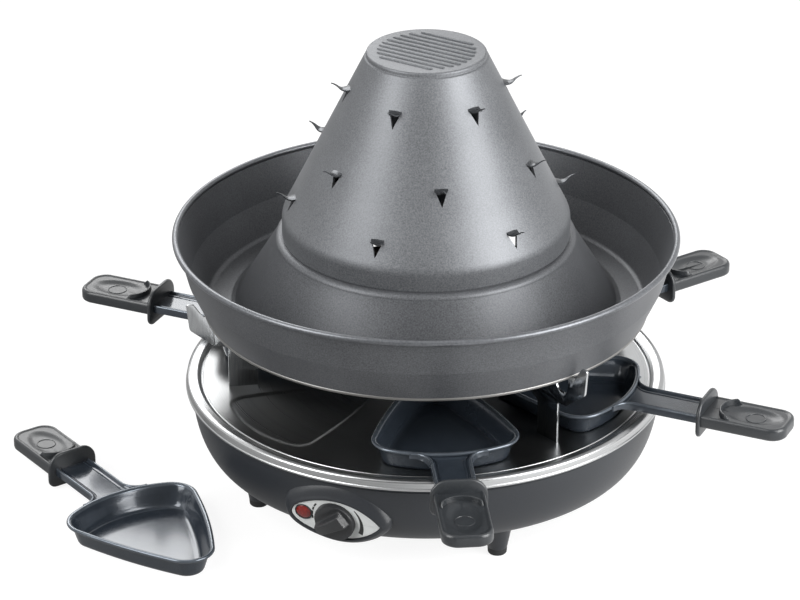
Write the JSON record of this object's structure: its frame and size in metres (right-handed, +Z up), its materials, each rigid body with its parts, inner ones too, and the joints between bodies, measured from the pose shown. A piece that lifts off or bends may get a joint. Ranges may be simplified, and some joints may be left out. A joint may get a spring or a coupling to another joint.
{
  "type": "table raclette grill",
  "caption": "Round table raclette grill: a conical grilling hat with hooks stands in a ring-shaped broth pan over a heated steel tray with lift-out pans.",
  "frame": {"origin": "on the table, on the grill's vertical axis", "axes": "+Z up, -Y towards the front, +X to the right as seen from the front"},
  "size_m": [0.5119, 0.5056, 0.304],
  "materials": {
    "base_plastic": "satin black, lightly textured",
    "rubber": "matt",
    "polished_steel": "bright satin stainless",
    "plated_steel": "zinc plated",
    "heater_sheath": "dark oxidised steel sheath",
    "ceramic": "matt white",
    "switch_plastic": "matt heat-resistant plastic",
    "brown_insulation": "silicone insulation",
    "black_insulation": "silicone insulation",
    "blue_insulation": "silicone insulation",
    "panel_silver": "satin silver",
    "knob_plastic": "satin black",
    "lamp_red": "clear dark red",
    "coated_aluminium": "grey metallic non-stick coating",
    "coated_pan_steel": "dark blue-grey non-stick coating",
    "grip_plastic": "charcoal, matt"
  },
  "bodies": {
    "base": {"base_housing": "base_plastic", "bottom_cover": "base_plastic", "feet": "base_plastic", "foot_pads": "rubber", "cord_inlet": "rubber", "steel_tray": "polished_steel", "bracket_right": "polished_steel", "bracket_rear": "polished_steel", "bracket_left": "polished_steel", "heat_shield": "plated_steel", "cover_screws": "plated_steel", "tray_spacers": "plated_steel", "tray_screws": "plated_steel", "heater_terminals": "plated_steel", "heating_element": "heater_sheath", "heater_bushes": "ceramic", "terminal_block": "ceramic", "thermal_fuse": "ceramic", "thermostat": "switch_plastic", "lamp_body": "switch_plastic", "live_wire": "brown_insulation", "switched_wire": "black_insulation", "neutral_wire": "blue_insulation", "lamp_wire": "blue_insulation", "control_plate": "panel_silver", "lamp_lens": "lamp_red"},
    "broth_pan": {"broth_pan": "coated_aluminium"},
    "hat": {"hat": "coated_aluminium"},
    "knob": {"control_knob": "knob_plastic", "thermostat_shaft": "plated_steel"},
    "pan_front": {"raclette_pan_front": "coated_pan_steel", "pan_grip_front": "grip_plastic"},
    "pan_right": {"raclette_pan_right": "coated_pan_steel", "pan_grip_right": "grip_plastic"},
    "pan_right_rear": {"raclette_pan_right_rear": "coated_pan_steel", "pan_grip_right_rear": "grip_plastic"},
    "pan_rear": {"raclette_pan_rear": "coated_pan_steel", "pan_grip_rear": "grip_plastic"},
    "pan_left_rear": {"raclette_pan_left_rear": "coated_pan_steel", "pan_grip_left_rear": "grip_plastic"},
    "pan_loose": {"raclette_pan_loose": "coated_pan_steel", "pan_grip_loose": "grip_plastic"}
  },
  "joints": [
    {"name": "broth_pan_lift", "type": "slide", "parent": "base", "child": "broth_pan", "axis": [0, 0, 1], "range_m": [0, 0.08]},
    {"name": "hat_lift", "type": "slide", "parent": "broth_pan", "child": "hat", "axis": [0, 0, 1], "range_m": [0, 0.15]},
    {"name": "knob_turn", "type": "hinge", "parent": "base", "child": "knob", "pos_m": [-0.05645, -0.14113, 0.041], "axis": [0.3632, 0.9082, 0.2079], "range_deg": [0, 270]},
    {"name": "pan_front_slide", "type": "slide", "parent": "base", "child": "pan_front", "axis": [0.1005, -0.956, 0.2756], "range_m": [0, 0.12]},
    {"name": "pan_right_slide", "type": "slide", "parent": "base", "child": "pan_right", "axis": [0.8782, -0.391, 0.2756], "range_m": [0, 0.12]},
    {"name": "pan_right_rear_slide", "type": "slide", "parent": "base", "child": "pan_right_rear", "axis": [0.7777, 0.565, 0.2756], "range_m": [0, 0.12]},
    {"name": "pan_rear_slide", "type": "slide", "parent": "base", "child": "pan_rear", "axis": [-0.1005, 0.956, 0.2756], "range_m": [0, 0.12]},
    {"name": "pan_left_rear_slide", "type": "slide", "parent": "base", "child": "pan_left_rear", "axis": [-0.8782, 0.391, 0.2756], "range_m": [0, 0.12]},
    {"name": "pan_loose_slide", "type": "slide", "parent": "base", "child": "pan_loose", "axis": [-0.5878, 0.809, 0], "range_m": [0, 0.1]}
  ]
}
